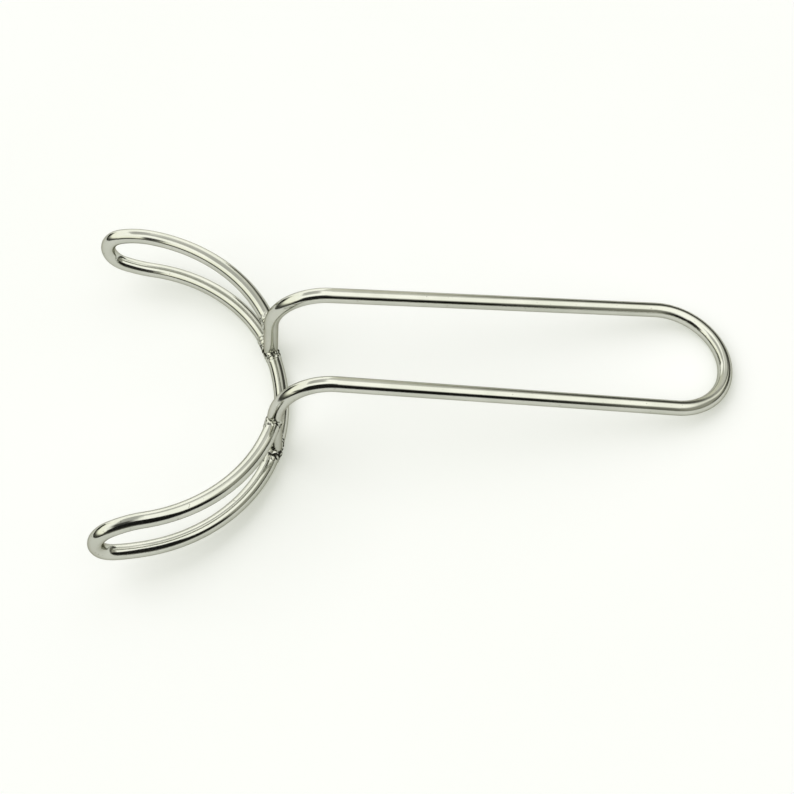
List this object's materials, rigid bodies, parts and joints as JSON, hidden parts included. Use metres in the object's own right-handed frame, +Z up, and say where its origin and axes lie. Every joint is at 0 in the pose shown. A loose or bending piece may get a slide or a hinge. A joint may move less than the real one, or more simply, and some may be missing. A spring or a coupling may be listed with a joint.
{
  "type": "wire mouth gag",
  "caption": "Bent-wire mouth gag: a long U handle on raised posts carries a C-shaped pair of hairpin loops that hold the lips and cheeks apart.",
  "frame": {"origin": "middle of the overall length and width, on the table the part lies on", "axes": "+X along the handle towards its round end, +Y to the right hand of someone holding the handle, +Z up from the table"},
  "size_m": [0.1448, 0.0832, 0.0251],
  "materials": {
    "polished_wire": "mirror-polished stainless steel",
    "weld_metal": "rippled weld bead, polished over"
  },
  "bodies": {
    "root": {"handle_wire": "polished_wire", "bridge_wire": "polished_wire", "loop_wire_right": "polished_wire", "loop_wire_left": "polished_wire", "lower_weld_right": "weld_metal", "lower_weld_left": "weld_metal", "bridge_weld_right": "weld_metal", "bridge_weld_left": "weld_metal", "upper_weld_right": "weld_metal", "upper_weld_left": "weld_metal"}
  },
  "joints": []
}
